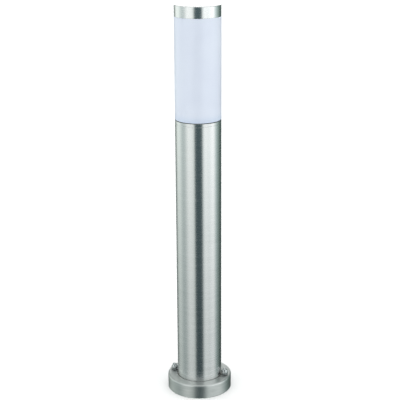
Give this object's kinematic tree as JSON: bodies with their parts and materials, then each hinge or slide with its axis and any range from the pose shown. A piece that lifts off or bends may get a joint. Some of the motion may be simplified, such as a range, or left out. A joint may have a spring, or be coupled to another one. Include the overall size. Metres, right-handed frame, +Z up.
{
  "type": "bollard light",
  "caption": "Slim garden bollard light: brushed stainless post on a round screw-down base, with an opal cylindrical head that lifts off over a screw-in lamp.",
  "frame": {"origin": "centre of the base on the ground plane", "axes": "+Z up along the post, -Y towards the front, +X to the front's right-hand side"},
  "size_m": [0.11, 0.11, 0.665],
  "materials": {
    "brushed_stainless": "brushed, satin",
    "polished_stainless": "bright",
    "galvanised_steel": "hot-dip zinc, dull",
    "zinc_plated_steel": "bright zinc plate",
    "weld_metal": "as welded",
    "black_rubber": "matt",
    "black_nylon": "moulded, matt",
    "white_nylon": "moulded, matt",
    "brass": "turned and stamped",
    "tinned_copper": "tinned",
    "nickel_plate": "plated, bright",
    "glazed_porcelain": "glazed",
    "brown_insulation": "extruded",
    "blue_insulation": "extruded",
    "green_yellow_insulation": "extruded, two colours",
    "solder": "tin solder",
    "black_glass": "glassy",
    "white_lamp_plastic": "moulded, satin",
    "circuit_board": "solder mask",
    "led_board": "white solder mask",
    "led_phosphor": "phosphor",
    "opal_lamp_plastic": "frosted opal",
    "opal_polycarbonate": "opal, satin",
    "grey_foam": "closed-cell foam tape"
  },
  "bodies": {
    "post": {"mounting_plate": "galvanised_steel", "cable_grommet": "black_rubber", "mounting_studs": "zinc_plated_steel", "base_flange": "brushed_stainless", "flange_weld_bead": "weld_metal", "stud_sealing_washers": "black_rubber", "stud_washers": "polished_stainless", "cap_nuts": "polished_stainless", "terminal_bracket": "galvanised_steel", "bracket_rivets": "zinc_plated_steel", "terminal_block": "white_nylon", "block_screws": "zinc_plated_steel", "terminal_inserts": "brass", "clamp_screws": "zinc_plated_steel", "earth_tag": "tinned_copper", "earth_screw": "zinc_plated_steel", "earth_nut": "zinc_plated_steel", "post_tube": "brushed_stainless", "holder_collar": "black_nylon", "seat_gasket": "black_rubber", "thread_inserts": "brass", "grub_screws": "polished_stainless", "holder_bracket": "galvanised_steel", "bracket_screws": "zinc_plated_steel", "holder_nipple": "zinc_plated_steel", "nipple_locknut": "zinc_plated_steel", "lampholder_body": "glazed_porcelain", "lampholder_shell": "nickel_plate", "shell_strap": "brass", "centre_contact": "brass", "contact_rivets": "brass", "live_wire": "brown_insulation", "neutral_wire": "blue_insulation", "earth_wire": "green_yellow_insulation"},
    "head": {"diffuser": "opal_polycarbonate", "neck_o_ring": "black_rubber", "cap_pad": "grey_foam", "top_cap": "brushed_stainless"},
    "lamp_base": {"lamp_contact": "solder", "lamp_insulator": "black_glass", "lamp_screw_cap": "nickel_plate"},
    "lamp_top": {"lamp_housing": "white_lamp_plastic", "lamp_driver_board": "circuit_board", "led_board": "led_board", "led_chips": "led_phosphor", "lamp_bulb": "opal_lamp_plastic"}
  },
  "joints": [
    {"name": "head_lift", "type": "slide", "parent": "post", "child": "head", "axis": [0, 0, 1], "range_m": [0, 0.18]},
    {"name": "lamp_rise", "type": "slide", "parent": "post", "child": "lamp_base", "axis": [0, 0, 1], "range_m": [0, 0.01814]},
    {"name": "lamp_turn", "type": "hinge", "parent": "lamp_base", "child": "lamp_top", "pos_m": [0, 0, 0.5], "axis": [0, 0, 1], "range_deg": [0, 1800]}
  ],
  "couplings": [
    {"joint": "lamp_turn", "follows": "lamp_rise", "rad_per_m": 1731.4}
  ]
}
